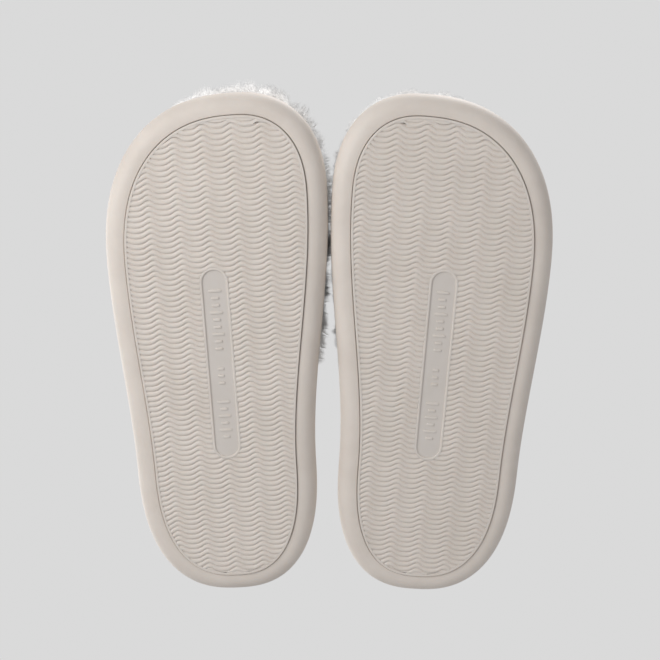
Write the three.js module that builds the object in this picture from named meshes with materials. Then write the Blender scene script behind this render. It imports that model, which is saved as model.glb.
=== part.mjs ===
// A pair of backless fluffy house slippers, soles down on z = 0, toes towards -Y, millimetres.
// The wearer's left slipper is on +X and the right one is its mirror image on -X.
import * as THREE from "three";
import { mergeVertices } from "three/addons/utils/BufferGeometryUtils.js";

// How the pair stands.
const pairGap = 1.2; // between the two soles where they come closest
const splayDeg = 3.75; // each toe turns out by this
const fit = 0.3; // clearance between pieces that touch

// Sole outline, in the slipper's own frame: x is positive on the outer side, y runs toe to heel.
const soleLength = 250;
const outerBall = 53.5; // half-widths at the ball of the foot
const innerBall = 54.5;
const outerBallY = -45;
const innerBallY = -77;
const outerHeel = 48.5; // half-widths where the heel starts to round
const innerHeel = 41;
const heelStartY = 58;
const toeTipX = -13;
const heelTipX = 2;
const toePower = 2.37; // superellipse powers of the toe's and the heel's curve
const heelPower = 2.5;

// Foam sole.
const forefootHeight = 24;
const heelHeight = 31;
const rampStartY = -40; // the top climbs from forefoot to heel between these
const rampEndY = 45;
const toeSpring = 6; // how far the toe curls up
const springStartY = -62;
const rimLift = 0.8; // the rim stays this far off the floor
const rimRadius = 7; // rounding of the bottom edge
const wallLean = 4; // the wall leans in by this at the top
const topRadius = 2;
const cupInset = 8; // the lip's inner edge, from the outline
const cupDepth = 3;

// Ribbed tread, laid into the sole's underside.
const treadInset = 9.5;
const treadGroove = 0.5;
const recessDepth = 2.2;
const treadChamfer = 0.5;

// Footbed, from the bottom up.
const boardThickness = 2;
const cushionThickness = 5;
const coverThickness = 3.5;
const coverRounding = 1.2;
const footbedStepLength = 12; // the footbed widens over this length behind the upper
const footbedGap = 1.6; // between the footbed and the lining round it

// Upper: three layers of a dome, from the outside in. The fur stands on the sole's lip, the
// padding and the lining stand inside it.
const furInset = 1;
const furToeReach = 4; // the pile stands this far past the sole at the toe
const cupGap = 0.7; // between the cup's wall and the layers that stand in it
const paddingThickness = 3;
const liningThickness = 1.8;
const upperHeight = 66; // above the sole's top, at the throat
const throatTopY = -8;
const throatSideY = 16;
const throatSweep = 1.8;
const domePower = 1.95; // lengthwise curve of the dome
const archPower = 2.25; // crosswise curve of the dome
const bindingWidth = 3.2; // along the foot
const bindingRounding = 0.9;

const stations = 24; // sections along a sole outline
const archColumns = 16;
const domeRows = 9;

const paddingInset = cupInset + cupGap;
const liningInset = paddingInset + paddingThickness + fit;
const cavityInset = liningInset + liningThickness;
const footbedInset = cavityInset + footbedGap;
const toeY = -soleLength / 2;
const heelY = soleLength / 2;

const smoothStep = THREE.MathUtils.smoothstep;
const lerp = THREE.MathUtils.lerp;

function superellipse(reach, power) {
  const clamped = THREE.MathUtils.clamp(reach, 0, 1);
  return (1 - clamped ** power) ** (1 / power);
}

// x of the outline's outer (direction 1) or inner (direction -1) edge at y, drawn in by an inset.
function edgeX(direction, y, inset, toeEnd, heelEnd) {
  const ball = direction > 0 ? outerBall : innerBall;
  const ballY = direction > 0 ? outerBallY : innerBallY;
  const heel = direction > 0 ? outerHeel : innerHeel;
  const round = (half, tipX, reach, power) =>
    tipX + (direction * (half - inset) - tipX) * superellipse(reach, power);
  if (y < ballY) return round(ball, toeTipX, (ballY - y) / (ballY - toeEnd), toePower);
  if (y > heelStartY)
    return round(heel, heelTipX, (y - heelStartY) / (heelEnd - heelStartY), heelPower);
  return direction * (lerp(ball, heel, smoothStep(y, ballY, heelStartY)) - inset);
}

function springAt(y) {
  const reach = Math.max(0, (springStartY - y) / (springStartY - toeY));
  return toeSpring * reach ** 2;
}

function soleTopAt(y) {
  return lerp(forefootHeight, heelHeight, smoothStep(y, rampStartY, rampEndY)) + springAt(y);
}

const cupFloorAt = (y) => soleTopAt(y) - cupDepth;

// One closed loop round the outline: toe tip, outer edge, heel tip, inner edge back to the toe.
// The two edges share their y values, so a cap laddered across the loop follows any height set by y.
function outlineLoop(insetAt, heightAt) {
  const toeEnd = toeY + insetAt(toeY);
  const heelEnd = heelY - insetAt(heelY);
  const along = (i) => lerp(toeEnd, heelEnd, (1 - Math.cos((Math.PI * i) / stations)) / 2);
  const point = (direction, i) => {
    const y = along(i);
    const x = edgeX(direction, y, insetAt(y), toeEnd, heelEnd);
    return new THREE.Vector3(x, y, heightAt(y));
  };
  const loop = [];
  for (let i = 0; i <= stations; i++) loop.push(point(1, i));
  for (let i = stations - 1; i > 0; i--) loop.push(point(-1, i));
  return loop;
}

// Gathers corners and triangles, and drops triangles that have closed up at a tip.
class Shell {
  positions = [];

  triangle(a, b, c) {
    const touching = (p, q) => p.distanceToSquared(q) < 1e-8;
    if (touching(a, b) || touching(b, c) || touching(c, a)) return;
    this.positions.push(...a, ...b, ...c);
  }

  quad(a, b, c, d) {
    this.triangle(a, b, c);
    this.triangle(a, c, d);
  }

  // side is 1 for the left slipper and -1 for its mirror image.
  geometry(side) {
    const flat = new Float32Array(this.positions);
    for (let i = 0; i < flat.length; i += 3) flat[i] *= side;
    if (side < 0)
      for (let i = 0; i < flat.length; i += 9) {
        const second = flat.slice(i + 3, i + 6);
        flat.copyWithin(i + 3, i + 6, i + 9);
        flat.set(second, i + 6);
      }
    const made = new THREE.BufferGeometry();
    made.setAttribute("position", new THREE.BufferAttribute(flat, 3));
    const merged = mergeVertices(made, 1e-4);
    merged.computeVertexNormals();
    return merged;
  }
}

// A solid through a stack of loops, capped at both ends by rungs from each point to its opposite.
function loft(loops) {
  const shell = new Shell();
  const count = loops[0].length;
  for (let k = 0; k + 1 < loops.length; k++)
    for (let i = 0; i < count; i++) {
      const next = (i + 1) % count;
      shell.quad(loops[k][i], loops[k][next], loops[k + 1][next], loops[k + 1][i]);
    }
  for (let i = 0; i < count / 2; i++) {
    const [a, b, c, d] = [i, i + 1, count - i - 1, (count - i) % count];
    const [first, last] = [loops[0], loops.at(-1)];
    shell.quad(first[a], first[d], first[c], first[b]);
    shell.quad(last[a], last[b], last[c], last[d]);
  }
  return shell;
}

function outlineSolid(levels) {
  return loft(
    levels.map(({ inset, height }) =>
      outlineLoop(typeof inset === "function" ? inset : () => inset, height),
    ),
  );
}

function soleSolid() {
  const low = (z) => (y) => z + springAt(y);
  const high = (drop) => (y) => soleTopAt(y) - drop;
  const rounding = [30, 60, 90].map((degrees) => {
    const turn = THREE.MathUtils.degToRad(degrees);
    return {
      inset: rimRadius * (1 - Math.sin(turn)),
      height: low(rimLift + rimRadius * (1 - Math.cos(turn))),
    };
  });
  return outlineSolid([
    { inset: treadInset, height: low(rimLift + recessDepth) },
    { inset: treadInset, height: low(rimLift) },
    { inset: rimRadius, height: low(rimLift) },
    ...rounding,
    { inset: wallLean, height: high(topRadius) },
    { inset: wallLean + topRadius, height: high(0) },
    { inset: cupInset, height: high(0) },
    { inset: cupInset, height: high(cupDepth) },
  ]);
}

function treadSolid() {
  const low = (z) => (y) => z + springAt(y);
  const edge = treadInset + treadGroove;
  return outlineSolid([
    { inset: edge + treadChamfer, height: low(0) },
    { inset: edge, height: low(treadChamfer) },
    { inset: edge, height: low(rimLift + recessDepth - fit) },
  ]);
}

// Edge of the footbed: inside the upper at the front, out to the sole's lip behind it.
function footbedEdge(y) {
  const start = throatSideY + bindingWidth + 2 * fit;
  const widening = smoothStep(y, start, start + footbedStepLength);
  return lerp(footbedInset, cupInset + fit, widening);
}

function footbedLayer(bottom, thickness, rounding = 0) {
  const at = (lift) => (y) => cupFloorAt(y) + bottom + lift;
  const levels = [
    { inset: footbedEdge, height: at(0) },
    { inset: footbedEdge, height: at(thickness - rounding) },
  ];
  if (rounding > 0)
    levels.push({ inset: (y) => footbedEdge(y) + rounding, height: at(thickness) });
  return outlineSolid(levels);
}

// y of the throat's edge at an angle round the arch: further back at the sides than on top.
function throatY(angle) {
  return lerp(throatTopY, throatSideY, Math.abs(Math.cos(angle)) ** throatSweep);
}

// A point of the dome at an angle round the arch (0 outer side, 180 degrees inner side).
function domePoint(angle, y, inset, toeEnd) {
  const outer = edgeX(1, y, inset, toeEnd, heelY - inset);
  const inner = edgeX(-1, y, inset, toeEnd, heelY - inset);
  const cosine = Math.cos(angle);
  const across = Math.sign(cosine) * Math.abs(cosine) ** (2 / archPower);
  const up = Math.max(0, Math.sin(angle)) ** (2 / archPower);
  const rise = (upperHeight - inset) * superellipse((throatTopY - y) / (throatTopY - toeEnd), domePower);
  return new THREE.Vector3(
    (outer + inner) / 2 + ((outer - inner) / 2) * across,
    y,
    soleTopAt(y) + fit + rise * up,
  );
}

// Rows from the throat to the toe, columns from the outer side over the arch to the inner side.
// skirt lengthens both sides straight down into the sole's cup.
function domeGrid(inset, toeInset, skirt) {
  const toeEnd = toeY + toeInset;
  const grid = [];
  for (let i = 0; i <= domeRows; i++) {
    const forward = 1 - Math.sin((Math.PI / 2) * (i / domeRows));
    const row = [];
    for (let j = 0; j <= archColumns; j++) {
      const angle = (Math.PI * j) / archColumns;
      row.push(domePoint(angle, lerp(toeEnd, throatY(angle), forward), inset, toeEnd));
    }
    if (skirt > 0) {
      const drop = (point) => point.clone().setZ(point.z - skirt);
      row.unshift(drop(row[0]));
      row.push(drop(row.at(-1)));
    }
    grid.push(row);
  }
  return grid;
}

function domeLayer(outerGrid, innerGrid) {
  const shell = new Shell();
  const rows = outerGrid.length - 1;
  const columns = outerGrid[0].length - 1;
  for (let i = 0; i < rows; i++) {
    for (let j = 0; j < columns; j++) {
      const [o, n] = [outerGrid, innerGrid];
      shell.quad(o[i][j], o[i][j + 1], o[i + 1][j + 1], o[i + 1][j]);
      shell.quad(n[i][j], n[i + 1][j], n[i + 1][j + 1], n[i][j + 1]);
    }
    const [a, b] = [0, columns];
    shell.quad(outerGrid[i][a], outerGrid[i + 1][a], innerGrid[i + 1][a], innerGrid[i][a]);
    shell.quad(outerGrid[i][b], innerGrid[i][b], innerGrid[i + 1][b], outerGrid[i + 1][b]);
  }
  for (let j = 0; j < columns; j++)
    shell.quad(outerGrid[0][j], innerGrid[0][j], innerGrid[0][j + 1], outerGrid[0][j + 1]);
  return shell;
}

function furSolid() {
  return domeLayer(domeGrid(furInset, -furToeReach, 0), domeGrid(cupInset, cupInset, 0));
}

function innerLayerSolid(inset, thickness) {
  const skirt = cupDepth;
  const far = inset + thickness;
  return domeLayer(domeGrid(inset, inset, skirt), domeGrid(far, far, skirt));
}

// A rounded strap along the throat, over the cut edges of the upper's layers.
function bindingSolid() {
  const [wide, narrow] = [cupInset, cavityInset];
  const section = [
    [wide, fit + bindingRounding],
    [wide + bindingRounding, fit],
    [narrow - bindingRounding, fit],
    [narrow, fit + bindingRounding],
    [narrow, bindingWidth - bindingRounding],
    [narrow - bindingRounding, bindingWidth],
    [wide + bindingRounding, bindingWidth],
    [wide, bindingWidth - bindingRounding],
  ];
  const loops = [];
  for (let j = 0; j <= archColumns; j++) {
    const angle = Math.PI * (1 - j / archColumns);
    const place = ([inset, back]) =>
      domePoint(angle, throatY(angle) + back, inset, toeY + inset);
    loops.push(section.map(place));
  }
  return loft(loops);
}

const finishes = {
  foam: { color: 0xcfc6bd, roughness: 0.75 },
  tread: { color: 0xcbc1b7, roughness: 0.7 },
  board: { color: 0xa68d6c, roughness: 0.9 },
  cushion: { color: 0xe8e0b8, roughness: 0.95 },
  plush: { color: 0xdfdbd6, roughness: 1 },
  padding: { color: 0xeae6de, roughness: 1 },
  lining: { color: 0xdcd8d2, roughness: 1 },
  fur: { color: 0xe2dfdd, roughness: 1 },
  binding: { color: 0xd8d3cc, roughness: 0.95 },
};

const boardBottom = fit;
const cushionBottom = boardBottom + boardThickness + fit;
const coverBottom = cushionBottom + cushionThickness + fit;

const pieces = [
  ["sole", "foam", soleSolid()],
  ["tread", "tread", treadSolid()],
  ["insole_board", "board", footbedLayer(boardBottom, boardThickness)],
  ["insole_cushion", "cushion", footbedLayer(cushionBottom, cushionThickness)],
  ["footbed_cover", "plush", footbedLayer(coverBottom, coverThickness, coverRounding)],
  ["upper_lining", "lining", innerLayerSolid(liningInset, liningThickness)],
  ["upper_padding", "padding", innerLayerSolid(paddingInset, paddingThickness)],
  ["upper_fur", "fur", furSolid()],
  ["throat_binding", "binding", bindingSolid()],
];

// Distance of a slipper's own origin from the pair's middle, so that the soles keep pairGap.
function standOff() {
  const splay = THREE.MathUtils.degToRad(splayDeg);
  const reach = outlineLoop(() => 0, () => 0).map(
    (point) => point.y * Math.sin(splay) - point.x * Math.cos(splay),
  );
  return pairGap / 2 + Math.max(...reach);
}

function slipper(side, name) {
  const group = new THREE.Group();
  group.name = name;
  for (const [piece, finish, shell] of pieces) {
    const material = new THREE.MeshStandardMaterial({ ...finishes[finish], metalness: 0 });
    const mesh = new THREE.Mesh(shell.geometry(side), material);
    mesh.name = `${name}_${piece}`;
    group.add(mesh);
  }
  group.position.x = side * standOff();
  group.rotation.z = side * THREE.MathUtils.degToRad(splayDeg);
  return group;
}

const pair = new THREE.Group();
pair.add(slipper(1, "left"), slipper(-1, "right"));
pair.updateMatrixWorld(true);
const box = new THREE.Box3().setFromObject(pair, true);
pair.position.y = -(box.min.y + box.max.y) / 2; // the origin is under the middle of the pair

export default pair;
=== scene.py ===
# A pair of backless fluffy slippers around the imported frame: metres, soles down, toes towards -Y.
import math

import bmesh
import bpy
import numpy as np
from mathutils import Matrix, Vector


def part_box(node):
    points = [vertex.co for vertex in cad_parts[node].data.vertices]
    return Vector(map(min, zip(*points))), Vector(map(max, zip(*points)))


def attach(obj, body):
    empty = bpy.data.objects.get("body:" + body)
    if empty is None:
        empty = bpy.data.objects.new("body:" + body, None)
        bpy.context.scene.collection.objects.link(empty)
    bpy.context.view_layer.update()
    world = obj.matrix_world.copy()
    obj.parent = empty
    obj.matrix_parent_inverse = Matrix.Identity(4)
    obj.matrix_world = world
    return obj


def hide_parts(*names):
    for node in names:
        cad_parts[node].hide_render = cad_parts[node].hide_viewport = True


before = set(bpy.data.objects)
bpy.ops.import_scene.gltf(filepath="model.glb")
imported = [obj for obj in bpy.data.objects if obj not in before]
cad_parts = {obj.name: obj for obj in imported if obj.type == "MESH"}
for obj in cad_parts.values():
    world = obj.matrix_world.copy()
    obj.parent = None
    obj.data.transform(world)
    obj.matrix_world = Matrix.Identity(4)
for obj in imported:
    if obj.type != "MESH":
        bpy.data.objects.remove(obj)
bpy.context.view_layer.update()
mm = 0.001
weld = 1e-6  # corners nearer than this, in metres, are one
tiny = 1e-9  # keeps a division clear of zero

# The slipper's own frame: millimetres, x outwards, y from toe to heel, z up.
slipper = {
    "length": 250.0, "splay": math.radians(3.75),
    "ball": {1: 53.5, -1: 54.5}, "ballY": {1: -45.0, -1: -77.0},
    "heel": {1: 48.5, -1: 41.0}, "heelStart": 58.0,
    "toeTipX": -13.0, "heelTipX": 2.0, "toePower": 2.37, "heelPower": 2.5,
    "forefoot": 24.0, "heelHeight": 31.0, "rampStart": -40.0, "rampEnd": 45.0,
    "spring": 6.0, "springStart": -62.0,
}
toeY, heelY = -slipper["length"] / 2, slipper["length"] / 2
cadStations = 24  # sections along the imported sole's outline


def smoothStep(v, low, high):
    t = np.clip((np.asarray(v, float) - low) / (high - low), 0, 1)
    return t * t * (3 - 2 * t)


def superellipse(reach, power):
    return np.clip(1 - np.clip(reach, 0, 1) ** power, 0, 1) ** (1 / power)


# x of the sole's outer (1) or inner (-1) edge at y, drawn in by an inset
def edgeX(direction, y, inset, toeEnd=None, heelEnd=None):
    s = slipper
    y = np.asarray(y, float)
    toeEnd = toeY + inset if toeEnd is None else toeEnd
    heelEnd = heelY - inset if heelEnd is None else heelEnd
    ball, ballY, heel = s["ball"][direction], s["ballY"][direction], s["heel"][direction]

    def rounded(half, tip, reach, power):
        return tip + (direction * (half - inset) - tip) * superellipse(reach, power)

    toePart = rounded(ball, s["toeTipX"], (ballY - y) / (ballY - toeEnd), s["toePower"])
    heelReach = (y - s["heelStart"]) / (heelEnd - s["heelStart"])
    heelPart = rounded(heel, s["heelTipX"], heelReach, s["heelPower"])
    middle = direction * (ball + (heel - ball) * smoothStep(y, ballY, s["heelStart"]) - inset)
    return np.where(y < ballY, toePart, np.where(y > s["heelStart"], heelPart, middle))


def springAt(y):
    s = slipper
    return s["spring"] * np.maximum(0, (s["springStart"] - y) / (s["springStart"] - toeY)) ** 2


def soleTopAt(y):
    s = slipper
    ramp = smoothStep(y, s["rampStart"], s["rampEnd"])
    return s["forefoot"] + (s["heelHeight"] - s["forefoot"]) * ramp + springAt(y)


# One loop round the outline: toe tip, outer edge, heel tip, inner edge back to the toe.
# The inset is a number, or a function of y.
def outlineLoop(inset, stations):
    insetAt = inset if callable(inset) else (lambda y: inset + 0 * y)
    toeEnd, heelEnd = toeY + insetAt(toeY), heelY - insetAt(heelY)
    y = toeEnd + (heelEnd - toeEnd) * (1 - np.cos(np.pi * np.arange(stations + 1) / stations)) / 2
    outer, inner = (edgeX(direction, y, insetAt(y), toeEnd, heelEnd) for direction in (1, -1))
    x = np.concatenate([outer, inner[-2:0:-1]])
    return np.column_stack([x, np.concatenate([y, y[-2:0:-1]])])


def raised(flat, heights):
    return np.column_stack([flat, np.broadcast_to(heights, len(flat))])


# How far a rounding of radius 1 has come from its two tangents, at an angle along it
def roundingAt(degrees):
    bend = math.radians(degrees)
    return 1 - math.cos(bend), 1 - math.sin(bend)


# Where the left slipper's own frame lies in the pair's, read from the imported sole.
cosine, sine = math.cos(slipper["splay"]), math.sin(slipper["splay"])
turn = np.array([[cosine, -sine], [sine, cosine]])
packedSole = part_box("left_sole")[0]
standAt = np.array([packedSole.x, packedSole.y]) / mm - (outlineLoop(0, cadStations) @ turn.T).min(0)


# The left slipper's own points, in the pair's frame and in metres
def placed(points):
    points = np.asarray(points, float).reshape(-1, 3)
    return np.column_stack([points[:, :2] @ turn.T + standAt, points[:, 2]]) * mm


def deselectAll():
    if bpy.context.object and bpy.context.object.mode != "OBJECT":
        bpy.ops.object.mode_set(mode="OBJECT")
    bpy.ops.object.select_all(action="DESELECT")


def takeUp(piece):
    deselectAll()
    piece.select_set(True)
    bpy.context.view_layer.objects.active = piece


def joinAll(parts):
    deselectAll()
    for part in parts:
        part.select_set(True)
    bpy.context.view_layer.objects.active = parts[0]
    bpy.ops.object.join()
    return bpy.context.object


def finishMesh(piece, name, material, smoothAngle=35):
    takeUp(piece)
    bpy.ops.object.mode_set(mode="EDIT")
    bpy.ops.mesh.select_all(action="SELECT")
    bpy.ops.mesh.remove_doubles(threshold=weld)
    # a face left inside, where two halves meet at the toe, goes
    mesh = bmesh.from_edit_mesh(piece.data)
    spare = [f for f in mesh.faces if all(len(e.link_faces) != 2 for e in f.edges)]
    bmesh.ops.delete(mesh, geom=spare, context="FACES")
    bmesh.update_edit_mesh(piece.data)
    bpy.ops.mesh.normals_make_consistent(inside=False)
    bpy.ops.object.mode_set(mode="OBJECT")
    bpy.ops.object.shade_smooth_by_angle(angle=math.radians(smoothAngle))
    piece.name = name
    piece.data.name = name
    piece.data.materials.clear()
    piece.data.materials.append(material)
    return piece


# A circle is pulled on to the first ring, extruded from ring to ring and capped at both ends.
# Rings whose last one is the first again make a closed tube, with no caps.
def growRings(rings, caps=True):
    rings = [placed(ring) for ring in rings]
    deselectAll()
    bpy.ops.mesh.primitive_circle_add(vertices=len(rings[0]))
    piece = bpy.context.object
    bpy.ops.object.mode_set(mode="EDIT")
    bpy.ops.mesh.select_mode(type="VERT")
    mesh = bmesh.from_edit_mesh(piece.data)
    order = mesh.verts.layers.int.new("order")
    level = mesh.verts.layers.int.new("level")
    for i, v in enumerate(mesh.verts):
        v[order] = i
        v.co = rings[0][i]
    bmesh.update_edit_mesh(piece.data)
    bpy.ops.mesh.select_all(action="SELECT")
    for k, ring in enumerate(rings[1:], 1):
        bpy.ops.mesh.extrude_edges_move()
        mesh = bmesh.from_edit_mesh(piece.data)
        order, level = mesh.verts.layers.int["order"], mesh.verts.layers.int["level"]
        for v in mesh.verts:
            if v.select:
                v[level] = k
                v.co = ring[v[order]]
        bmesh.update_edit_mesh(piece.data)
    for end in ((0, len(rings) - 1) if caps else ()):
        bpy.ops.mesh.select_all(action="DESELECT")
        mesh = bmesh.from_edit_mesh(piece.data)
        level = mesh.verts.layers.int["level"]
        for v in mesh.verts:
            v.select = v[level] == end
        mesh.select_flush_mode()
        bmesh.update_edit_mesh(piece.data)
        bpy.ops.mesh.edge_face_add()
        bpy.ops.mesh.quads_convert_to_tris(ngon_method="BEAUTY")
    bpy.ops.object.mode_set(mode="OBJECT")
    for layer in ("order", "level"):
        piece.data.attributes.remove(piece.data.attributes[layer])
    return piece


# A grid whose corners go to points[row][column].
def growGrid(points):
    rows, columns = points.shape[:2]
    deselectAll()
    bpy.ops.mesh.primitive_grid_add(x_subdivisions=columns - 1, y_subdivisions=rows - 1)
    piece = bpy.context.object
    flat = placed(points.reshape(-1, 3)).astype(np.float32)
    piece.data.vertices.foreach_set("co", flat.ravel())
    piece.data.update()
    return piece


# The right slipper's piece: a copy of the left one's, mirrored across the pair's middle.
def mirrored(piece):
    takeUp(piece)
    bpy.ops.object.duplicate()
    copy = bpy.context.object
    copy.name = copy.data.name = piece.name.replace("left_", "right_")
    bpy.ops.object.mode_set(mode="EDIT")
    bpy.ops.mesh.select_all(action="SELECT")
    mesh = bmesh.from_edit_mesh(copy.data)
    for v in mesh.verts:
        v.co.x = -v.co.x
    bmesh.update_edit_mesh(copy.data)
    bpy.ops.mesh.flip_normals()
    bpy.ops.object.mode_set(mode="OBJECT")
    return copy


# Both feet's copies of a piece, each put in its CAD node's place on its own slipper
def pairUp(piece, node):
    pair = [piece, mirrored(piece)]
    for half, foot in zip(pair, ("left", "right")):
        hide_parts(f"{foot}_{node}")
        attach(half, f"{foot}_slipper")
    return pair


def newMaterial(name):
    material = bpy.data.materials.new(name)
    material.use_nodes = True
    tree = material.node_tree
    return material, tree.nodes, tree.links, tree.nodes["Principled BSDF"]


def objectNoise(nodes, links, scale, detail, roughness):
    where = nodes.new("ShaderNodeTexCoord")
    noise = nodes.new("ShaderNodeTexNoise")
    noise.inputs["Scale"].default_value = scale
    noise.inputs["Detail"].default_value = detail
    noise.inputs["Roughness"].default_value = roughness
    links.new(where.outputs["Object"], noise.inputs["Vector"])
    return noise


def colourRamp(nodes, links, factor, stops):
    ramp = nodes.new("ShaderNodeValToRGB")
    for element, (place, colour) in zip(ramp.color_ramp.elements, stops):
        element.position = place
        element.color = (*colour, 1)
    links.new(factor, ramp.inputs["Fac"])
    return ramp


def addBump(nodes, links, shader, height, distance, strength=1, under=None):
    bump = nodes.new("ShaderNodeBump")
    bump.inputs["Distance"].default_value = distance
    bump.inputs["Strength"].default_value = strength
    links.new(height, bump.inputs["Height"])
    if under is not None:
        links.new(under.outputs["Normal"], bump.inputs["Normal"])
    links.new(bump.outputs["Normal"], shader.inputs["Normal"])
    return bump


# each noise is its scale, detail and roughness; depths are in metres
foamLook = {
    "light": (0.660, 0.600, 0.545), "dark": (0.618, 0.558, 0.504),
    "mottle": (38.0, 5.0, 0.6), "mottleEnds": (0.35, 0.62), "roughness": (0.52, 0.68),
    "grain": (1900.0, 4.0, 0.7), "grainDepth": 0.00016, "grainStrength": 0.6,
    "swell": (60.0, 2.0, 0.4), "swellDepth": 0.0006, "swellStrength": 0.5,
    "scatter": 0.12, "scatterColour": (1.0, 0.7, 0.5), "scatterReach": 0.002,
}
treadLook = {
    **foamLook, "light": (0.650, 0.592, 0.540), "dark": (0.622, 0.565, 0.512),
    "roughness": (0.48, 0.62), "grain": (2600.0, 4.0, 0.7), "grainDepth": 0.00005,
}


def mouldedFoam(name, look):
    material, nodes, links, shader = newMaterial(name)
    mottle = objectNoise(nodes, links, *look["mottle"])
    stops = zip(look["mottleEnds"], (look["dark"], look["light"]))
    ramp = colourRamp(nodes, links, mottle.outputs["Fac"], stops)
    links.new(ramp.outputs["Color"], shader.inputs["Base Color"])
    grain = objectNoise(nodes, links, *look["grain"])
    sheenMap = nodes.new("ShaderNodeMapRange")
    sheenMap.inputs["To Min"].default_value = look["roughness"][0]
    sheenMap.inputs["To Max"].default_value = look["roughness"][1]
    links.new(grain.outputs["Fac"], sheenMap.inputs["Value"])
    links.new(sheenMap.outputs["Result"], shader.inputs["Roughness"])
    swell = objectNoise(nodes, links, *look["swell"])
    broad = addBump(nodes, links, shader, swell.outputs["Fac"], look["swellDepth"], look["swellStrength"])
    addBump(nodes, links, shader, grain.outputs["Fac"], look["grainDepth"], look["grainStrength"], broad)
    shader.inputs["Subsurface Weight"].default_value = look["scatter"]
    shader.inputs["Subsurface Radius"].default_value = look["scatterColour"]
    shader.inputs["Subsurface Scale"].default_value = look["scatterReach"]
    return material


soleFoam = mouldedFoam("sole foam, cream", foamLook)
treadRubber = mouldedFoam("tread, cream", treadLook)

# the sole: all in millimetres, as insets from the outline and heights
sole = {
    "stations": 110, "rimLift": 0.8, "rimRadius": 7.0, "wallLean": 4.0, "topRadius": 2.6,
    "cupInset": 8.0, "cupDepth": 3.0, "cupBreak": 0.5, "treadInset": 9.5, "recess": 2.2, "recessLip": 0.5,
    "wallShares": (0.2, 0.4, 0.6, 0.8, 1.0), "leanPower": 1.5,
    "lipDegrees": (30, 60, 90), "rimDegrees": range(0, 91, 9), "topDegrees": (22, 45, 67, 90),
}


def makeSole():
    s = sole
    rings = []

    # a ring at a height over the floor, which curls up at the toe with the sole
    def low(inset, z):
        loop = outlineLoop(inset, s["stations"])
        rings.append(raised(loop, z + springAt(loop[:, 1])))

    # a ring at a depth under the sole's top
    def high(inset, drop):
        loop = outlineLoop(inset, s["stations"])
        rings.append(raised(loop, soleTopAt(loop[:, 1]) - drop))

    low(s["treadInset"], s["rimLift"] + s["recess"])
    low(s["treadInset"], s["rimLift"] + s["recessLip"])
    for degrees in s["lipDegrees"]:
        out, down = roundingAt(degrees)
        low(s["treadInset"] - s["recessLip"] * out, s["rimLift"] + s["recessLip"] * down)
    for degrees in s["rimDegrees"]:
        up, inwards = roundingAt(degrees)
        low(s["rimRadius"] * inwards, s["rimLift"] + s["rimRadius"] * up)
    start = s["rimLift"] + s["rimRadius"]
    for share in s["wallShares"]:
        lean = s["wallLean"] * share ** s["leanPower"]
        loop = outlineLoop(lean, s["stations"])
        bottom = start + springAt(loop[:, 1])
        top = soleTopAt(loop[:, 1]) - s["topRadius"]
        rings.append(raised(loop, bottom + (top - bottom) * share))
    for degrees in s["topDegrees"]:
        inwards, down = roundingAt(degrees)
        high(s["wallLean"] + s["topRadius"] * inwards, s["topRadius"] * down)
    high(s["cupInset"] - s["cupBreak"], 0)
    high(s["cupInset"], s["cupBreak"])
    high(s["cupInset"], s["cupDepth"])
    return finishMesh(growRings(rings), "left_foam_sole", soleFoam)


pairUp(makeSole(), "sole")
print("soles made")

# the ribbed insert in the sole's underside; "rows" are shares of a rib's pitch, with their depths
tread = {
    "edge": 9.75, "top": 2.7, "borderWidth": 1.2, "borderLift": 0.05, "borderRound": 0.3, "borderBreak": 0.3,
    "pitch": 2.62, "groove": 0.68, "underBorder": 0.8, "smoothAngle": 50,
    "rows": ((0.0, 1.0), (0.16, 0.45), (0.36, 0.06), (0.64, 0.03), (0.85, 0.4)), "columns": 84, "steps": 12,
    "waveLength": 13.9, "waveHeight": 1.4, "waveSharpness": 0.2,
    "fade": 2.2, "fadedDepth": 0.5, "squeeze": 0.6,
    "islandX": 2.2, "islandY": 4.4, "islandHalf": 7.0, "islandLength": 97.0, "islandBorder": 1.25,
    "islandOverlap": 0.5, "islandSteps": 14,
    # the island's section: insets and depths, from its outer edge and then from its border's inner edge
    "outerSection": ((0.0, 1.28), (0.0, 0.3), (-0.12, 0.1), (-0.35, 0.02)),
    "innerSection": ((0.3, 0.02), (0.1, 0.1), (0.0, 0.25), (-0.05, 0.6), (-0.5, 0.6)),
}
# raised ticks on the island; each run is its start, how many ticks, and their widths in turn
ticks = {
    "thick": 1.3, "tall": 0.84, "rounding": 0.18, "spacing": 3.6, "floor": 0.6,
    "runs": ((-37.0, 9, (6.2, 3.6, 3.6)), (2.0, 3, (3.0,)), (19.0, 6, (6.2, 3.6))),
}


def waveAt(x):
    phase = 2 * np.pi * (x - tread["islandX"]) / tread["waveLength"]
    sharp = tread["waveSharpness"]
    return -tread["waveHeight"] * (np.cos(phase) + sharp * np.cos(2 * phase)) / (1 + sharp)


def inIsland(x, y):
    straight = tread["islandLength"] / 2 - tread["islandHalf"]
    past = np.maximum(np.abs(y - tread["islandY"]) - straight, 0)
    return np.hypot(x - tread["islandX"], past) < tread["islandHalf"] - tread["islandOverlap"]


# Rows that would run past the toe or the heel are squeezed together inside it.
def squeezed(y, toeEnd, heelEnd):
    squeeze = tread["squeeze"]
    y = toeEnd + squeeze * np.logaddexp(0, (y - toeEnd) / squeeze)
    return heelEnd - squeeze * np.logaddexp(0, (heelEnd - y) / squeeze)


# Where a rib's row meets the tread's edge, found by going half of the way there in turn
def ribEnd(direction, start, edge, toeEnd, heelEnd):
    x = float(edgeX(direction, np.clip(start, toeEnd, heelEnd), edge, toeEnd, heelEnd))
    for _ in range(tread["steps"]):
        y = squeezed(start + waveAt(x), toeEnd, heelEnd)
        x = (x + float(edgeX(direction, y, edge, toeEnd, heelEnd))) / 2
    return x


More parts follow.
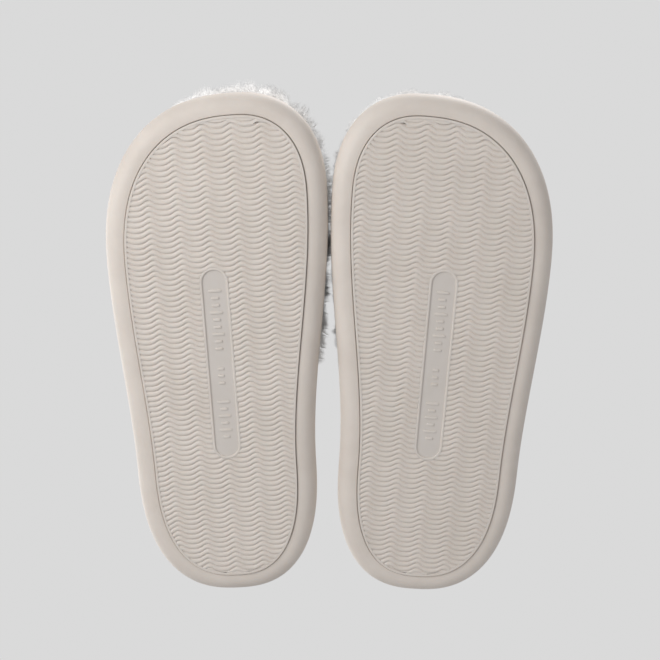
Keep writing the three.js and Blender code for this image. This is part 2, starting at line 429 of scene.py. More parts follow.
# Rows of corners follow the waves, so each rib and groove has its own edges.
def makeRibs():
    t = tread
    edge = t["edge"] + t["borderWidth"] * t["underBorder"]
    toeEnd, heelEnd = toeY + edge, heelY - edge
    ribs = int((heelEnd - toeEnd + 2 * t["waveHeight"]) / t["pitch"]) + 2
    across = np.linspace(0, 1, t["columns"] + 1)
    points = []
    for rib in range(ribs):
        for share, depth in t["rows"]:
            start = toeEnd - t["waveHeight"] + (rib + share) * t["pitch"]
            first, last = (ribEnd(direction, start, edge, toeEnd, heelEnd) for direction in (-1, 1))
            x = first + (last - first) * across
            y = squeezed(start + waveAt(x), toeEnd, heelEnd)
            # ribs die out towards the toe and heel ends, and under the island
            full = smoothStep(np.minimum(y - toeEnd, heelEnd - y), 0, t["fade"])
            z = t["groove"] * (depth * full + t["fadedDepth"] * (1 - full))
            z = np.where(inIsland(x, y), t["groove"], z)
            points.append(np.column_stack([x, y, z + springAt(y)]))
    ribbed = growGrid(np.array(points))
    bpy.ops.object.mode_set(mode="EDIT")
    bpy.ops.mesh.select_mode(type="VERT")
    bpy.ops.mesh.select_all(action="SELECT")
    bpy.ops.mesh.remove_doubles(threshold=2 * weld)
    # the sheet's edge is drawn up to the insert's top and closed over
    bpy.ops.mesh.select_all(action="DESELECT")
    bpy.ops.mesh.select_non_manifold()
    bpy.ops.mesh.extrude_edges_move()
    mesh = bmesh.from_edit_mesh(ribbed.data)
    for v in mesh.verts:
        if v.select:
            local = (np.array(v.co.xy) / mm - standAt) @ turn
            v.co.z = (t["top"] + float(springAt(local[1]))) * mm
    bmesh.update_edit_mesh(ribbed.data)
    bpy.ops.mesh.edge_face_add()
    bpy.ops.mesh.quads_convert_to_tris(ngon_method="BEAUTY")
    bpy.ops.object.mode_set(mode="OBJECT")
    return ribbed


def makeBorder():
    t = tread
    top, lift, r = t["top"], t["borderLift"], t["borderRound"]
    outer, inner, part = t["edge"], t["edge"] + t["borderWidth"], t["borderBreak"] * t["borderRound"]
    section = [
        (outer, top), (outer, r), (outer + part, part), (outer + r, lift),
        (inner - r, lift), (inner - part, part), (inner, r), (inner, top), (outer, top),
    ]
    rings = []
    for inset, z in section:
        loop = outlineLoop(inset, sole["stations"])
        rings.append(raised(loop, z + springAt(loop[:, 1])))
    return growRings(rings, caps=False)


def stadiumLoop(half):
    t = tread
    straight = t["islandLength"] / 2 - t["islandHalf"]
    loop = []
    for end, start in ((1, 0.0), (-1, math.pi)):
        for i in range(t["islandSteps"] + 1):
            angle = start + math.pi * i / t["islandSteps"]
            y = t["islandY"] + end * straight + half * math.sin(angle)
            loop.append((t["islandX"] + half * math.cos(angle), y))
    return np.array(loop)


def makeIsland():
    t = tread
    inner = t["islandHalf"] - t["islandBorder"]
    section = [(t["islandHalf"] + out, z) for out, z in t["outerSection"]]
    section += [(inner + out, z) for out, z in t["innerSection"]]
    return growRings([raised(stadiumLoop(half), z) for half, z in section])


# Plain raised ticks where a size marking would be
def makeTicks():
    deselectAll()
    bpy.ops.mesh.primitive_cube_add(size=1)
    tick = bpy.context.object
    bpy.ops.object.mode_set(mode="EDIT")
    bpy.ops.mesh.select_all(action="SELECT")
    bpy.ops.mesh.bevel(offset=ticks["rounding"], segments=2, affect="EDGES")
    bpy.ops.object.mode_set(mode="OBJECT")
    base = np.array([v.co for v in tick.data.vertices])
    made = []
    for start, count, widths in ticks["runs"]:
        for i in range(count):
            takeUp(tick)
            bpy.ops.object.duplicate()
            local = base * np.array([widths[i % len(widths)], ticks["thick"], ticks["tall"]])
            y = tread["islandY"] + start + i * ticks["spacing"]
            local += np.array([tread["islandX"], y, ticks["floor"]])
            copy = bpy.context.object
            copy.data.vertices.foreach_set("co", placed(local).astype(np.float32).ravel())
            made.append(copy)
    bpy.data.objects.remove(tick)
    return made


def makeTread():
    name = "left_ribbed_tread"
    parts = [finishMesh(part, name, treadRubber) for part in (makeRibs(), makeBorder(), makeIsland())]
    whole = joinAll([*parts, *makeTicks()])
    whole.data.materials.clear()
    whole.data.materials.append(treadRubber)
    whole.name = whole.data.name = name
    takeUp(whole)
    bpy.ops.object.shade_smooth_by_angle(angle=math.radians(tread["smoothAngle"]))
    print("tread faces", len(whole.data.polygons))
    return whole


pairUp(makeTread(), "tread")


# the upper: layers of a dome, each between two insets from the outline
upper = {
    "height": 66.0, "throatTop": -8.0, "throatSide": 16.0, "throatSweep": 1.8,
    "domePower": 1.95, "archPower": 2.25, "rows": 44, "columns": 60, "clearance": 0.3, "skirt": 3.0,
    "furBacking": (6.0, 4.0), "furInside": 8.0, "padding": (8.7, 11.7), "lining": (12.0, 13.8),
    "smoothAngle": 60, "paddingFill": 0.8,
}
backingRipple = {
    "height": 0.03, "length": 9.0, "stretch": (0.6, 1.5), "waves": 14, "turnOfWave": 6.28, "seed": 3,
}


def throatY(angle):
    u = upper
    return u["throatTop"] + (u["throatSide"] - u["throatTop"]) * np.abs(np.cos(angle)) ** u["throatSweep"]


# A point of the dome at an angle round the arch: 0 at the outer side, pi at the inner side
def domePoint(angle, y, inset, toeEnd):
    u = upper
    outer = edgeX(1, y, inset, toeEnd, heelY - inset)
    inner = edgeX(-1, y, inset, toeEnd, heelY - inset)
    across = np.sign(np.cos(angle)) * np.abs(np.cos(angle)) ** (2 / u["archPower"])
    up = np.maximum(0, np.sin(angle)) ** (2 / u["archPower"])
    toToe = (u["throatTop"] - y) / (u["throatTop"] - toeEnd)
    rise = (u["height"] - inset) * superellipse(toToe, u["domePower"])
    x = (outer + inner) / 2 + (outer - inner) / 2 * across
    return np.stack([x, y, soleTopAt(y) + u["clearance"] + rise * up], axis=-1)


# Columns round the arch, rows from the throat to the toe
def domeSheet(inset, toeInset):
    toeEnd = toeY + toeInset
    angle = np.linspace(0, np.pi, upper["columns"] + 1)[:, None]
    forward = 1 - np.sin(np.pi / 2 * np.linspace(0, 1, upper["rows"] + 1))[None, :]
    y = toeEnd + (throatY(angle) - toeEnd) * forward
    return domePoint(angle + 0 * y, y, inset, toeEnd)


# A layer of the upper between two dome sheets, with a skirt down into the sole's cup
def growLayer(outside, inside, skirt=0.0):
    rings = list(np.concatenate([outside, inside[:, ::-1]], axis=1))
    if skirt:
        drop = np.array([0, 0, skirt])
        rings = [rings[0] - drop, *rings, rings[-1] - drop]
    return growRings(rings)


# Crossing waves in all directions, which leave a sheet a little uneven
def ripple(points, look):
    random = np.random.default_rng(look["seed"])
    total = np.zeros(points.shape[:-1])
    for _ in range(look["waves"]):
        direction = random.normal(size=3)
        direction /= np.linalg.norm(direction)
        length = look["length"] * random.uniform(*look["stretch"])
        total += np.sin(points @ direction * 2 * np.pi / length + random.uniform(0, look["turnOfWave"]))
    return look["height"] * total


# every pile: tapering hairs, gathered into tufts
hair = {
    "steps": (0.0, 0.52), "taper": 0.5, "shadow": 0.72, "lengths": (0.72, 1.12), "widths": (0.7, 1.25),
    # shares of a hair's colour value: random tone by strand and by tuft, and by height painted shade, darker
    # at the root deep in the pile
    "firstLean": 0.35, "gatherPower": 1.3, "tonesAndRootShade": {"strand": 0.3, "tuft": 0.2, "height": 0.5},
    # how hairs lie in the band over the sole's lip and over the throat's tape
    "lipBand": (1, 14), "tapeCalm": 0.5, "tapeLean": 0.55,
    "chunk": 4000,  # roots matched to tufts at a time
}


# Roots spread evenly over the patches, and the surface's normal at each
def scatterRoots(patches, normals, areas, count, random):
    pick = random.choice(len(areas), count, p=areas / areas.sum())
    s, t = random.random((2, count, 1))
    a, b, c, d = (patches[k][pick] for k in range(4))
    return (1 - s) * ((1 - t) * a + t * d) + s * ((1 - t) * b + t * c), normals[pick]


def unit(v):
    return v / np.maximum(np.linalg.norm(v, axis=-1, keepdims=True), tiny)


def nearestOf(points, centres):
    nearest = np.empty(len(points), int)
    for start in range(0, len(points), hair["chunk"]):
        part = slice(start, start + hair["chunk"])
        nearest[part] = ((points[part, None] - centres[None]) ** 2).sum(-1).argmin(1)
    return nearest


# Each hair leans with its tuft and the nap, and its tip is drawn in to the tuft's middle.
def growHairs(roots, normals, look, random, flip):
    count = len(roots)
    tufts = random.choice(count, look["tufts"], replace=False)
    tuft = nearestOf(roots, roots[tufts])
    nap = np.array(look["nap"])
    tuftLean = unit(random.normal(size=(look["tufts"], 3))) * look["scatter"]
    tuftLength = random.uniform(*look["tuftLength"], look["tufts"])
    lean = tuftLean[tuft] + nap + random.normal(size=(count, 3)) * look["stray"]
    if "overLip" in look:
        low = 1 - smoothStep(roots[:, 2] - soleTopAt(roots[:, 1]), *hair["lipBand"])
        lean[:, 2] -= look["overLip"] * low * random.uniform(0, 1, count)
    if "overTape" in look:
        near = smoothStep(roots[:, 1], *look["overTape"])[:, None]
        lean = lean * (1 - hair["tapeCalm"] * near) + near * np.array([0, hair["tapeLean"], 0])
    lean -= normals * np.minimum((lean * normals).sum(-1, keepdims=True), 0)
    length = (look["length"] * tuftLength[tuft] * random.uniform(*hair["lengths"], count))[:, None]
    if "reach" in look:
        length *= reachAt(roots, look["reach"])[:, None]
    start = unit(normals + hair["firstLean"] * lean)
    finish = unit(normals * look["stand"] + lean + np.array([0, 0, -look["droop"]]))

    def along(share):
        free = roots + length * (start * share + (finish - start) * share ** 2 / 2)
        heart = free[tufts][tuft]
        gather = look["gather"] * share ** hair["gatherPower"]
        return free + (heart - free) * gather

    tip = along(1.0)
    axis = unit(tip - roots)
    sideA = unit(np.cross(axis, random.normal(size=(count, 3))))
    sideB = np.cross(axis, sideA)
    radius = (look["radius"] * random.uniform(*hair["widths"], count))[:, None]
    # each hair's colour value: a random tone by strand and by tuft, plus painted shade that is darkest at
    # the root and fades out up to the tip
    part = hair["tonesAndRootShade"]
    rootTint = random.uniform(0, 1, count) * part["strand"]
    rootTint += random.uniform(0, 1, look["tufts"])[tuft] * part["tuft"]
    corners, tonesAndRootShade = [], []
    for share in hair["steps"]:
        middle = along(share)
        wide = radius * (1 - hair["taper"] * share)
        for k in range(3):
            bearing = 2 * math.pi * k / 3
            corners.append(middle + wide * (sideA * math.cos(bearing) + sideB * math.sin(bearing)))
            tonesAndRootShade.append(rootTint + part["height"] * share)
    corners.append(tip)
    tonesAndRootShade.append(rootTint + part["height"])
    return meshOfHairs(np.stack(corners, axis=1), np.stack(tonesAndRootShade, axis=1), flip)


# Three-sided rings up each hair, closed at its root and drawn to a point at its tip
def meshOfHairs(corners, tonesAndRootShade, flip):
    count, perHair = corners.shape[:2]
    points = placed(corners)
    last = 3 * (len(hair["steps"]) - 1)
    loops = []
    for ring in range(0, last, 3):
        for k in range(3):
            n = (k + 1) % 3
            loops.append([ring + k, ring + n, ring + 3 + n, ring + 3 + k])
    loops += [[last + k, last + (k + 1) % 3, perHair - 1] for k in range(3)]
    loops.append([2, 1, 0])
    if flip:
        points[:, 0] *= -1
        loops = [loop[::-1] for loop in loops]
    sizes = np.tile([len(loop) for loop in loops], count)
    flat = np.array([i for loop in loops for i in loop])
    index = (flat[None] + perHair * np.arange(count)[:, None]).ravel()
    mesh = bpy.data.meshes.new("pile")
    mesh.vertices.add(len(points))
    mesh.vertices.foreach_set("co", points.astype(np.float32).ravel())
    mesh.loops.add(len(index))
    mesh.loops.foreach_set("vertex_index", index.astype(np.int32))
    mesh.polygons.add(len(sizes))
    mesh.polygons.foreach_set("loop_start", (np.cumsum(sizes) - sizes).astype(np.int32))
    mesh.polygons.foreach_set("use_smooth", np.ones(len(sizes), bool))
    mesh.update(calc_edges=True)
    toneAndRootShade = mesh.attributes.new("toneAndRootShade", "FLOAT", "POINT")
    toneAndRootShade.data.foreach_set("value", tonesAndRootShade.astype(np.float32).ravel())
    return mesh


def makePile(name, body, mesh, material):
    pile = bpy.data.objects.new(name, mesh)
    bpy.context.scene.collection.objects.link(pile)
    mesh.name = name
    mesh.materials.append(material)
    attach(pile, body)


pileLook = {"toneAndShadeEnds": (0.0, 0.8), "roughness": 0.75, "specular": 0.25}


def pileMaterial(name, dark, light, translucency):
    material, nodes, links, shader = newMaterial(name)
    # the hair's random tone, with painted shade darker towards its root, picks the colour between dark and
    # light
    toneAndRootShade = nodes.new("ShaderNodeAttribute")
    toneAndRootShade.attribute_name = "toneAndRootShade"
    ramp = colourRamp(nodes, links, toneAndRootShade.outputs["Fac"], zip(pileLook["toneAndShadeEnds"], (dark, light)))
    links.new(ramp.outputs["Color"], shader.inputs["Base Color"])
    shader.inputs["Roughness"].default_value = pileLook["roughness"]
    shader.inputs["Specular IOR Level"].default_value = pileLook["specular"]
    through = nodes.new("ShaderNodeBsdfTranslucent")
    links.new(ramp.outputs["Color"], through.inputs["Color"])
    mix = nodes.new("ShaderNodeMixShader")
    mix.inputs["Fac"].default_value = translucency
    links.new(shader.outputs["BSDF"], mix.inputs[1])
    links.new(through.outputs["BSDF"], mix.inputs[2])
    # light reaches in between real hairs, so a hair casts only part of a shadow
    ray = nodes.new("ShaderNodeLightPath")
    share = nodes.new("ShaderNodeMath")
    share.operation = "MULTIPLY"
    share.inputs[1].default_value = hair["shadow"]
    links.new(ray.outputs["Is Shadow Ray"], share.inputs[0])
    clear = nodes.new("ShaderNodeBsdfTransparent")
    fluffy = nodes.new("ShaderNodeMixShader")
    links.new(share.outputs["Value"], fluffy.inputs["Fac"])
    links.new(mix.outputs["Shader"], fluffy.inputs[1])
    links.new(clear.outputs["BSDF"], fluffy.inputs[2])
    links.new(fluffy.outputs["Shader"], nodes["Material Output"].inputs["Surface"])
    return material


fleeceLook = {"detail": 6.0, "fuzz": 0.75, "fuzzEnds": (0.3, 0.65), "roughness": 0.95, "sheen": (0.4, 0.5)}


def fleece(name, dark, light, scale, depth):
    material, nodes, links, shader = newMaterial(name)
    fuzz = objectNoise(nodes, links, scale, fleeceLook["detail"], fleeceLook["fuzz"])
    ramp = colourRamp(nodes, links, fuzz.outputs["Fac"], zip(fleeceLook["fuzzEnds"], (dark, light)))
    links.new(ramp.outputs["Color"], shader.inputs["Base Color"])
    shader.inputs["Roughness"].default_value = fleeceLook["roughness"]
    shader.inputs["Sheen Weight"].default_value = fleeceLook["sheen"][0]
    shader.inputs["Sheen Roughness"].default_value = fleeceLook["sheen"][1]
    addBump(nodes, links, shader, fuzz.outputs["Fac"], depth)
    return material


# each pile runs from dark to light; the dark end is partly painted shade at the hair roots, partly random
# tone
furHairs = pileMaterial("long pile, white", (0.93, 0.92, 0.91), (0.99, 0.985, 0.98), 0.55)
plushHairs = pileMaterial("short pile, cream", (0.89, 0.87, 0.85), (0.965, 0.955, 0.94), 0.5)
furBacking = fleece("fur backing", (0.78, 0.755, 0.73), (0.88, 0.865, 0.85), 700.0, 0.0008)
plushBacking = fleece("plush backing", (0.74, 0.715, 0.69), (0.86, 0.84, 0.815), 900.0, 0.0006)
waddingWhite = fleece("wadding", (0.68, 0.66, 0.63), (0.82, 0.80, 0.77), 260.0, 0.0009)

furOutside, furInside = domeSheet(*upper["furBacking"]), domeSheet(upper["furInside"], upper["furInside"])
furOutside[..., 2] += ripple(furOutside, backingRipple)
backing = growLayer(furOutside, furInside)
backing = finishMesh(backing, "left_fur_upper", furBacking, upper["smoothAngle"])
pairUp(backing, "upper_fur")

outer, inner = upper["padding"]
wadding = growLayer(domeSheet(outer, outer), domeSheet(inner, inner), upper["skirt"])
wadding = finishMesh(wadding, "left_upper_wadding", waddingWhite, upper["smoothAngle"])
pairUp(wadding, "upper_padding")

outer, inner = upper["lining"]
liningInside = domeSheet(inner, inner)
lining = growLayer(domeSheet(outer, outer), liningInside, upper["skirt"])
lining = finishMesh(lining, "left_plush_lining", plushBacking, upper["smoothAngle"])
pairUp(lining, "upper_lining")
print("upper's layers made")

furLook = {
    "pieces": 3, "hairs": 18600, "tufts": 480, "length": 12.5, "tuftLength": (0.72, 1.2), "radius": 0.17,
    "nap": (0.0, -0.42, -0.12), "scatter": 0.5, "stray": 0.2, "stand": 0.85, "droop": 0.28, "gather": 0.5,
    "overTape": (-22.0, -9.0), "overLip": 1.7, "sunk": 0.3,
    # where the shorter pile near the sole ends, and bearings in degrees from a place behind the toe
    "shortBand": (10, 34), "bearingFrom": (-8, -55), "bearings": (-60, 0, 45),
}
# each foot's seeds, and the share of the fur's full length low down: outer side, toe, inner side
feet = {
    "left": {"flip": False, "furSeed": 11, "plushSeed": 31, "reach": (0.32, 0.42, 0.62)},
    "right": {"flip": True, "furSeed": 23, "plushSeed": 43, "reach": (0.32, 0.68, 0.78)},
}


# Near the sole the pile is cut shorter, by a share for each bearing round the toe.
def reachAt(roots, shares):
    high = smoothStep(roots[:, 2] - soleTopAt(roots[:, 1]), *furLook["shortBand"])
    fromX, fromY = furLook["bearingFrom"]
    bearing = np.degrees(np.arctan2(roots[:, 0] - fromX, -(roots[:, 1] - fromY)))
    low = np.interp(bearing, furLook["bearings"], shares[::-1])
    return low + (1 - low) * high


# A sheet's quads, their normals, and their areas where keep says that hairs grow
def patchesOf(sheet, keep=None, inward=False):
    a, b, c, d = sheet[:-1, :-1], sheet[1:, :-1], sheet[1:, 1:], sheet[:-1, 1:]
    normals = np.cross(c - a, d - b)
    areas = np.linalg.norm(normals, axis=-1)
    normals = unit(normals) * (-1 if inward else 1)
    if keep is not None:
        areas = areas * keep(a)
    return [p.reshape(-1, 3) for p in (a, b, c, d)], normals.reshape(-1, 3), areas.ravel()


# One pile of hairs, rooted a little under the surface, as a piece that rides on its slipper
def coverInPile(foot, name, patches, look, random, material):
    roots, normals = scatterRoots(*patches, look["hairs"], random)
    mesh = growHairs(roots - normals * look["sunk"], normals, look, random, feet[foot]["flip"])
    makePile(f"{foot}_{name}", f"{foot}_slipper", mesh, material)


furPatches = patchesOf(furOutside)
for foot, its in feet.items():
    look = {**furLook, "reach": its["reach"]}
    for part in range(furLook["pieces"]):
        random = np.random.default_rng(its["furSeed"] + part)
        coverInPile(foot, f"fur_pile_{part + 1}", furPatches, look, random, furHairs)
print("fur grown")

# the throat's binding: ribbed tape over the cut edges, with a row of stitches
binding = {
    "wide": 5.7, "narrow": 13.8, "front": 0.12, "back": 3.2, "round": 1.2, "stations": 330,
    "ribPitch": 1.9, "ribHeight": 0.22, "stitchPitch": 3.4, "stitch": (2.3, 0.55, 0.55), "stitchInset": 9.4,
    "stitchSunk": 0.05, "cornerSteps": 3, "smoothAngle": 60,
}


def bindingLine(angle, inset, back):
    return domePoint(angle, throatY(angle) + back, inset, toeY + inset)


def makeBinding():
    b = binding
    r = b["round"]
    insets, backs = (b["narrow"] - r, b["wide"] + r), (b["back"] - r, b["front"] + r)
    section = []
    for corner, (i, j) in enumerate(((0, 0), (1, 0), (1, 1), (0, 1))):
        for step in range(b["cornerSteps"] + 1):
            bearing = math.pi / 2 * (corner + step / b["cornerSteps"])
            section.append((insets[i] + r * math.cos(bearing), backs[j] + r * math.sin(bearing)))
    section = np.array(section)
    heart = section.mean(0)
    outwards = unit(section - heart)
    angles = np.pi * (1 - np.arange(b["stations"] + 1) / b["stations"])
    middle = bindingLine(angles, *heart)
    run = np.concatenate([[0], np.cumsum(np.linalg.norm(np.diff(middle, axis=0), axis=1))])
    rings = []
    for angle, along in zip(angles, run):
        groove = (b["ribHeight"] - b["ribHeight"] * math.cos(2 * math.pi * along / b["ribPitch"])) / 2
        shape = section - outwards * groove
        rings.append(np.array([bindingLine(angle, inset, back) for inset, back in shape]))
    tape = finishMesh(growRings(rings), "left_bound_throat", tapeLook, b["smoothAngle"])
    whole = joinAll([tape, *makeStitches(angles, run)])
    takeUp(whole)
    bpy.ops.object.shade_smooth_by_angle(angle=math.radians(b["smoothAngle"]))
    return whole


# Long beads of thread laid along the back of the tape
def makeStitches(angles, run):
    b = binding
    deselectAll()
    bpy.ops.mesh.primitive_uv_sphere_add(segments=8, ring_count=6, radius=0.5)
    bead = bpy.context.object
    local = np.array([v.co for v in bead.data.vertices]) * np.array(b["stitch"])
    stitches = []
    for target in np.arange(b["stitchPitch"], run[-1] - b["stitchPitch"], b["stitchPitch"]):
        k = int(np.searchsorted(run, target))
        back = b["back"] - b["stitchSunk"]
        spot = bindingLine(angles[k], b["stitchInset"], back)
        ahead = unit(bindingLine(angles[k - 3], b["stitchInset"], back) - spot)
        out = unit(bindingLine(angles[k], b["stitchInset"], b["back"] + 1) - spot)
        side = np.cross(ahead, out)
        takeUp(bead)
        bpy.ops.object.duplicate()
        points = spot + local[:, :1] * ahead + local[:, 1:2] * side + local[:, 2:] * out
        stitch = bpy.context.object
        stitch.data.vertices.foreach_set("co", placed(points).astype(np.float32).ravel())
        stitches.append(stitch)
    bpy.data.objects.remove(bead)
    return stitches


tapeLook = fleece("binding tape", (0.70, 0.67, 0.64), (0.80, 0.775, 0.745), 1500.0, 0.0002)
pairUp(makeBinding(), "throat_binding")
print("throat bound")

# the footbed: board, foam cushion and a plush cover sewn down round both
footbed = {
    "inset": 15.4, "heelInset": 8.3, "stepStart": 19.8, "stepLength": 12.0, "cupDepth": 3.0, "stations": 60,
    "board": (0.3, 2.3, 0.3), "cushion": (2.6, 7.6, 1.4), "drawnIn": 1.9,
    "pressure": 4.0, "frames": 20, "swellSide": 0.5, "swellUp": 2.4, "under": 7.9, "top": 12.2,
    "lowRounding": 0.5, "lowDegrees": (90, 60, 30, 0), "topDegrees": (0, 30, 60, 90), "cushionFill": 0.9,
}
# the cover's section, as insets from the footbed's edge and heights over the cup's floor: out over
# the cushion, down inside the skirt, up outside it and in over the top
coverSection = [
    *((inset, footbed["under"]) for inset in (30.0, 25.0, 20.0, 15.0, 10.0, 6.0)),
    (3.4, 7.8), (2.1, 7.2), (1.8, 6.0), (1.75, 3.5), (1.7, 1.2), (1.3, 0.5), (0.9, 0.4), (0.5, 0.7),
    (0.35, 1.8), (0.3, 3.4), (0.3, 5.0), (0.3, 6.6), (0.5, 8.2), (1.1, 9.6), (2.1, 10.7), (3.6, 11.4),
    (6.0, 11.8), (9.0, 12.0), (12.0, 12.1),
    *((inset, footbed["top"]) for inset in (15.0, 18.0, 21.0, 24.0, 27.0, 30.0)),
]


def footbedEdge(y):
    f = footbed
    widening = smoothStep(y, f["stepStart"], f["stepStart"] + f["stepLength"])
    return f["inset"] + (f["heelInset"] - f["inset"]) * widening


def growStack(section):
    rings = []
    for inward, z in section:
        loop = outlineLoop(lambda y, inward=inward: footbedEdge(y) + inward, footbed["stations"])
        rings.append(raised(loop, soleTopAt(loop[:, 1]) - footbed["cupDepth"] + z))
    return growRings(rings)


def growSlab(low, high, rounding):
    f = footbed
    section = []
    for degrees in f["lowDegrees"]:
        inward, up = roundingAt(degrees)
        section.append((rounding * f["lowRounding"] * inward, low + rounding * f["lowRounding"] * up))
    for degrees in f["topDegrees"]:
        inward, down = roundingAt(degrees)
        section.append((rounding * inward, high - rounding * down))
    return growStack([(f["drawnIn"] + inward, z) for inward, z in section])


# Blown up as cloth, and held to a few millimetres of swelling, none of it down into the cushion
def swellCover(piece):
    f = footbed
    takeUp(piece)
    count = len(piece.data.vertices)
    before = np.empty(count * 3, np.float32)
    piece.data.vertices.foreach_get("co", before)
    after = before.copy()
    cloth = piece.modifiers.new("swell", "CLOTH")
    cloth.settings.use_pressure = True
    cloth.settings.uniform_pressure_force = f["pressure"]
    cloth.settings.effector_weights.gravity = 0
    cloth.point_cache.frame_end = f["frames"]
    for number in range(1, f["frames"] + 1):
        bpy.context.scene.frame_set(number)
    bpy.ops.object.modifier_apply(modifier="swell")
    piece.data.vertices.foreach_get("co", after)
    bpy.context.scene.frame_set(1)
    before, after = before.reshape(-1, 3), after.reshape(-1, 3)
    move = after - before
    side = np.linalg.norm(move[:, :2], axis=1, keepdims=True)
    move[:, :2] *= np.minimum(1, f["swellSide"] * mm / np.maximum(side, tiny))
    move[:, 2] = np.clip(move[:, 2], 0, f["swellUp"] * mm)
    print("cover swelled by up to", round(float(move[:, 2].max()) / mm, 2), "mm")
    piece.data.vertices.foreach_set("co", (before + move).ravel())
    piece.data.update()
    smooth = piece.modifiers.new("smooth", "SUBSURF")
    smooth.levels = smooth.render_levels = 1
    bpy.ops.object.modifier_apply(modifier="smooth")
    bpy.ops.object.shade_smooth()


boardLook = fleece("fibre board", (0.30, 0.22, 0.14), (0.46, 0.36, 0.25), 420.0, 0.0002)
cushionLook = fleece("cushion foam", (0.70, 0.66, 0.50), (0.80, 0.76, 0.60), 1400.0, 0.0004)
pairUp(finishMesh(growSlab(*footbed["board"]), "left_fibre_board", boardLook), "insole_board")
cushion = finishMesh(growSlab(*footbed["cushion"]), "left_foam_cushion", cushionLook)
pairUp(cushion, "insole_cushion")

cover = finishMesh(growStack(coverSection), "left_footbed_plush", plushBacking)
swellCover(cover)
covers = pairUp(cover, "footbed_cover")
print("footbed made")

footbedLook = {
    "hairs": 18000, "tufts": 1300, "length": 3.6, "tuftLength": (0.8, 1.15), "radius": 0.15,
    "nap": (0.0, 0.25, 0.0), "scatter": 0.5, "stray": 0.22, "stand": 0.8, "droop": 0.05, "gather": 0.6,
    "sunk": 0.2, "from": -75.0, "leastUp": 0.25,
}
liningLook = {
    **footbedLook, "hairs": 7000, "tufts": 520, "length": 3.0, "nap": (0.0, 0.4, 0.0),
    "from": -62.0, "above": 34.0,
}


# Triangles of a finished piece, back in the left slipper's own millimetres
def patchesOfPiece(piece, keep):
    mesh = piece.data
    mesh.calc_loop_triangles()
    index = np.empty(len(mesh.loop_triangles) * 3, np.int32)
    mesh.loop_triangles.foreach_get("vertices", index)
    co = np.empty(len(mesh.vertices) * 3, np.float32)
    mesh.vertices.foreach_get("co", co)
    co = co.reshape(-1, 3) / mm
    co = np.column_stack([(co[:, :2] - standAt) @ turn, co[:, 2]]).astype(float)
    a, b, c = (co[index.reshape(-1, 3)[:, k]] for k in range(3))
    normals = np.cross(b - a, c - a)
    areas = np.linalg.norm(normals, axis=1) * keep(a, unit(normals))
    return [a, b, c, (a + c) / 2], unit(normals), areas


# hairs grow on the cover's upper side and on the lining's inside, but not deep in the toe
def coverKeeps(points, normals):
    return (normals[:, 2] > footbedLook["leastUp"]) & (points[:, 1] > footbedLook["from"])


def liningKeeps(points):
    return (points[..., 1] > liningLook["from"]) & (points[..., 2] > liningLook["above"])


coverPatches = patchesOfPiece(covers[0], coverKeeps)
liningPatches = patchesOf(liningInside, liningKeeps, inward=True)
for foot, its in feet.items():
    random = np.random.default_rng(its["plushSeed"])
    coverInPile(foot, "footbed_pile", coverPatches, footbedLook, random, plushHairs)
    coverInPile(foot, "lining_pile", liningPatches, liningLook, random, plushHairs)
print("plush pile grown")


camera = {
    "lens": 78.3, "sensor": 36, "distance": 0.693, "tilt": math.radians(15), "roll": math.radians(0.45),
    "aim": (0.0007, -0.0112, 0.0), "clip": (0.01, 50),
}


def makeCamera():
    c = camera
    back = Vector((0, -math.sin(c["tilt"]), -math.cos(c["tilt"])))
    up = Vector((0, -math.cos(c["tilt"]), math.sin(c["tilt"])))
    right = Vector((1, 0, 0))
    right, up = (right * math.cos(c["roll"]) + up * math.sin(c["roll"]),
                 up * math.cos(c["roll"]) - right * math.sin(c["roll"]))
    data = bpy.data.cameras.new("camera")
    data.lens = c["lens"]
    data.sensor_width = c["sensor"]
    data.clip_start, data.clip_end = c["clip"]
    eye = bpy.data.objects.new("camera", data)
    bpy.context.scene.collection.objects.link(eye)
    eye.location = Vector(c["aim"]) + back * c["distance"]
    eye.rotation_mode = "QUATERNION"
    basis = np.array([right, up, back]).T
    eye.rotation_quaternion = Matrix(basis.tolist()).to_quaternion()
    bpy.context.scene.camera = eye


makeCamera()


# A round lamp, or over the floor a sun, which lights all of it alike; each faces the slippers.
def addLamp(name, kind, place, power, size):
    data = bpy.data.lights.new(name, kind)
    data.energy = power
    if kind == "SUN":
        data.angle = math.radians(size)
    else:
        data.shape = "DISK"
        data.size = size
    lamp = bpy.data.objects.new(name, data)
    bpy.context.scene.collection.objects.link(lamp)
    lamp.location = place
    lamp.rotation_mode = "QUATERNION"
    lamp.rotation_quaternion = Vector(place).to_track_quat("Z", "Y")


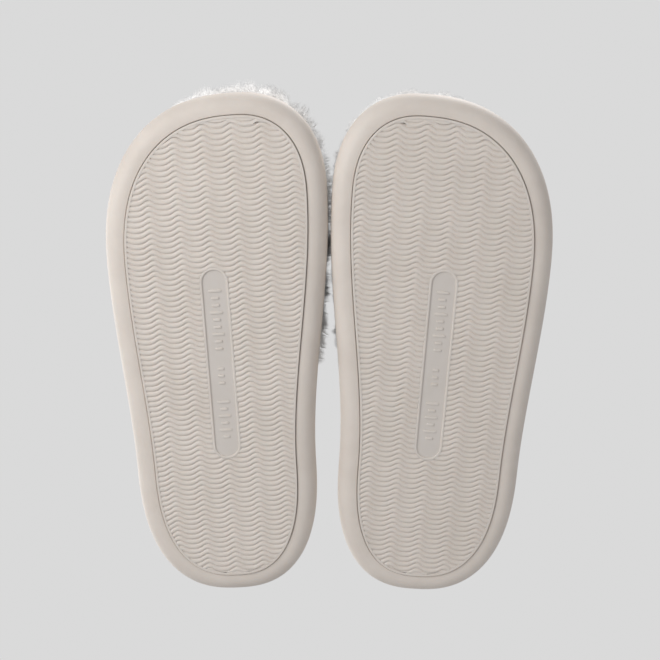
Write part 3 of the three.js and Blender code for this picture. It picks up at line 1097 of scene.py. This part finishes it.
# place, power, and size in metres or in degrees of sky
lamps = {
    "key from below": ("AREA", (-0.56, -0.38, -0.46), 4.1, 0.5),
    "fill from below": ("AREA", (0.9, 0.8, -3.2), 10, 3.0),
    "key from above": ("SUN", (1.4, -3.0, 3.6), 2.2, 26),
    "fill from above": ("SUN", (-3.2, 2.2, 3.0), 1.35, 50),
}
for name, lamp in lamps.items():
    addLamp(name, *lamp)

# the backdrop's grey as the camera sees it, and the colour of the light that it gives
studio = {"seen": (0.70, 0.70, 0.70, 1), "given": (0.50, 0.50, 0.505, 1)}
world = bpy.data.worlds.new("studio")
bpy.context.scene.world = world
world.use_nodes = True
air = world.node_tree.nodes
wall = air["Background"]
wall.inputs["Color"].default_value = studio["seen"]
glow = air.new("ShaderNodeBackground")
glow.inputs["Color"].default_value = studio["given"]
seen = air.new("ShaderNodeLightPath")
either = air.new("ShaderNodeMixShader")
world.node_tree.links.new(seen.outputs["Is Camera Ray"], either.inputs["Fac"])
world.node_tree.links.new(glow.outputs["Background"], either.inputs[1])
world.node_tree.links.new(wall.outputs["Background"], either.inputs[2])
world.node_tree.links.new(either.outputs["Shader"], air["World Output"].inputs["Surface"])
bpy.context.scene.view_settings.view_transform = "Standard"


# Seen from its lit side only, so that the soles can be looked at from below
floorLook = {"size": 60.0, "grey": 0.55}


def floorMaterial():
    material, nodes, links, shader = newMaterial("floor, pale")
    grey = floorLook["grey"]
    shader.inputs["Base Color"].default_value = (grey, grey, grey, 1)
    shader.inputs["Roughness"].default_value = 1
    shader.inputs["Specular IOR Level"].default_value = 0
    clear = nodes.new("ShaderNodeBsdfTransparent")
    mix = nodes.new("ShaderNodeMixShader")
    facing = nodes.new("ShaderNodeNewGeometry")
    links.new(facing.outputs["Backfacing"], mix.inputs["Fac"])
    links.new(shader.outputs["BSDF"], mix.inputs[1])
    links.new(clear.outputs["BSDF"], mix.inputs[2])
    links.new(mix.outputs["Shader"], nodes["Material Output"].inputs["Surface"])
    return material


deselectAll()
bpy.ops.mesh.primitive_plane_add(size=floorLook["size"])
floor = bpy.context.object
floor.name = "floor"
floor.data.materials.append(floorMaterial())
# seen by the camera alone, so that it neither shades nor tints the soles that stand on it
floor.visible_shadow = floor.visible_diffuse = floor.visible_glossy = floor.visible_transmission = False

deselectAll()
